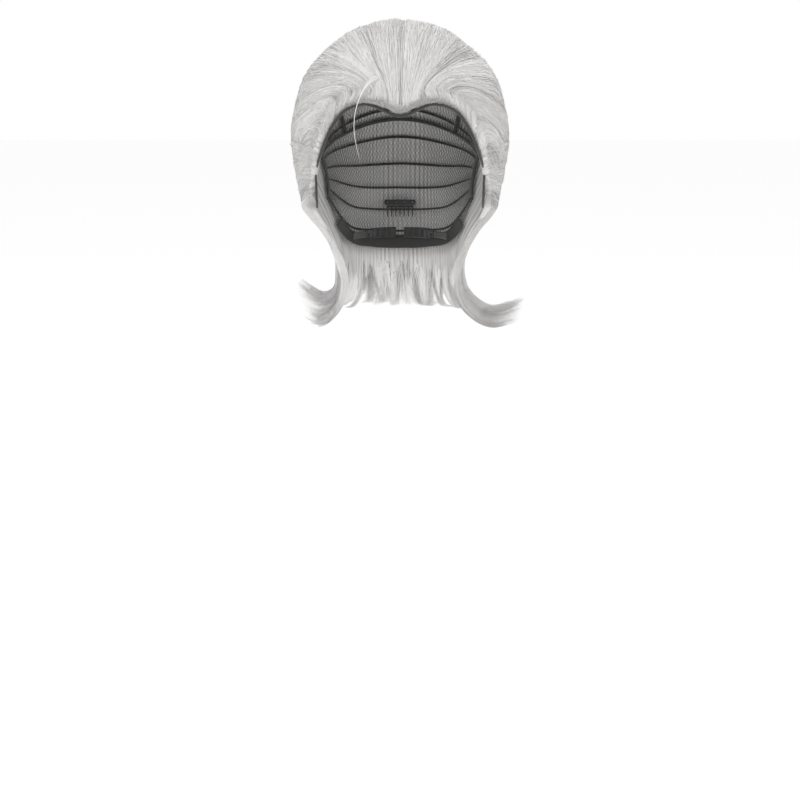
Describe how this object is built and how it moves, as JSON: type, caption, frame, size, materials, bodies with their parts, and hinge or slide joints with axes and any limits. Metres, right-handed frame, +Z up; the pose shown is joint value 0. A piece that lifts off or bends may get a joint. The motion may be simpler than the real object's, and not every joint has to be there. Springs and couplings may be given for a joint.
{
  "type": "costume wig",
  "caption": "Costume wig with swept-back hair, flipped ends and a thin forelock, on a net cap with bendable ear tabs, hook adjusters and snap combs.",
  "frame": {"origin": "centre of the wearer's head at the level where its circumference is taken; the head_fit mount", "axes": "+Z up, -Y out of the face opening, +X towards the wearer's left"},
  "size_m": [0.2174, 0.217, 0.2857],
  "materials": {
    "net": "black stretch net",
    "lace": "fine dark lace",
    "band": "dark woven edge band",
    "weft": "dark stitched weft tape",
    "stay": "flat bendable stay",
    "tape": "black woven tape",
    "elastic": "black ribbed elastic",
    "hook": "black nylon",
    "comb": "black lacquered spring steel",
    "hair": "silver white synthetic fibre, satin"
  },
  "bodies": {
    "cap": {"back_hair": "hair", "back_net": "net", "crown_hair": "hair", "crown_net": "net", "ear_binding_left": "band", "ear_binding_right": "band", "elastic_strap_left": "elastic", "elastic_strap_right": "elastic", "front_edge_band": "band", "front_hair": "hair", "front_lace": "lace", "loop_tape_left": "tape", "loop_tape_right": "tape", "nape_band": "band", "rear_side_hair_left": "hair", "rear_side_hair_right": "hair", "side_hair_left": "hair", "side_hair_right": "hair", "side_net_left": "net", "side_net_right": "net", "snap_comb_base_left": "comb", "snap_comb_base_nape": "comb", "snap_comb_base_right": "comb", "temple_hair_left": "hair", "temple_hair_right": "hair", "thread_loops_left": "tape", "thread_loops_right": "tape", "weft_tape_01": "weft", "weft_tape_02": "weft", "weft_tape_03": "weft", "weft_tape_04": "weft", "weft_tape_05": "weft", "weft_tape_06": "weft", "weft_tape_07": "weft", "weft_tape_08": "weft", "weft_tape_09": "weft", "weft_tape_10": "weft", "weft_tape_11": "weft", "weft_tape_12": "weft"},
    "nape_curtain": {"nape_hair": "hair"},
    "flips_left": {"rear_flip_left": "hair", "upper_flip_left": "hair", "lower_flip_left": "hair"},
    "flips_right": {"rear_flip_right": "hair", "upper_flip_right": "hair", "lower_flip_right": "hair"},
    "forelock": {"forelock": "hair"},
    "tab_left": {"ear_tab_left": "net", "ear_tab_edging_left": "band", "ear_stay_left": "stay"},
    "tab_right": {"ear_tab_right": "net", "ear_tab_edging_right": "band", "ear_stay_right": "stay"},
    "hook_left": {"strap_hook_left": "hook"},
    "hook_right": {"strap_hook_right": "hook"},
    "comb_left": {"snap_comb_teeth_left": "comb"},
    "comb_right": {"snap_comb_teeth_right": "comb"},
    "comb_nape": {"snap_comb_teeth_nape": "comb"}
  },
  "joints": [
    {"name": "ear_tab_left_bend", "type": "hinge", "parent": "cap", "child": "tab_left", "pos_m": [0.07516, -0.02422, -0.01111], "axis": [0.1244, 0.8993, -0.4193], "range_deg": [0, 25]},
    {"name": "ear_tab_right_bend", "type": "hinge", "parent": "cap", "child": "tab_right", "pos_m": [-0.07516, -0.02422, -0.01111], "axis": [0.1244, -0.8993, 0.4193], "range_deg": [0, 25]},
    {"name": "adjuster_left_slide", "type": "hinge", "parent": "cap", "child": "hook_left", "pos_m": [0, 0.0175, -0.0775], "axis": [0, 0, 1], "range_deg": [0, 21], "deforming": ["elastic_strap_left"]},
    {"name": "adjuster_right_slide", "type": "hinge", "parent": "cap", "child": "hook_right", "pos_m": [0, 0.0175, -0.0775], "axis": [0, 0, -1], "range_deg": [0, 21], "deforming": ["elastic_strap_right"]},
    {"name": "snap_comb_left_open", "type": "hinge", "parent": "cap", "child": "comb_left", "pos_m": [0.05038, -0.03827, 0.05774], "axis": [-0.6381, -0.2682, 0.7218], "range_deg": [0, 35]},
    {"name": "snap_comb_right_open", "type": "hinge", "parent": "cap", "child": "comb_right", "pos_m": [-0.05038, -0.03827, 0.05774], "axis": [-0.6381, 0.2682, -0.7218], "range_deg": [0, 35]},
    {"name": "snap_comb_nape_open", "type": "hinge", "parent": "cap", "child": "comb_nape", "pos_m": [0, 0.0817, -0.05336], "axis": [-1, 0, 0], "range_deg": [0, 35]},
    {"name": "nape_hair_swing", "type": "hinge", "parent": "cap", "child": "nape_curtain", "pos_m": [0, 0.086, -0.086], "axis": [1, 0, 0], "range_deg": [0, 18], "stiffness_Nm_per_rad": 0.12},
    {"name": "flips_left_swing", "type": "hinge", "parent": "cap", "child": "flips_left", "pos_m": [0.0555, 0.0585, -0.091], "axis": [0, -0.93, 0.3675], "range_deg": [0, 12], "stiffness_Nm_per_rad": 0.08},
    {"name": "flips_right_swing", "type": "hinge", "parent": "cap", "child": "flips_right", "pos_m": [-0.0555, 0.0585, -0.091], "axis": [0, 0.93, -0.3675], "range_deg": [0, 12], "stiffness_Nm_per_rad": 0.08},
    {"name": "forelock_swing", "type": "hinge", "parent": "cap", "child": "forelock", "pos_m": [-0.022, -0.086, 0.075], "axis": [-1, 0, 0], "range_deg": [-2, 18], "stiffness_Nm_per_rad": 0.004}
  ]
}
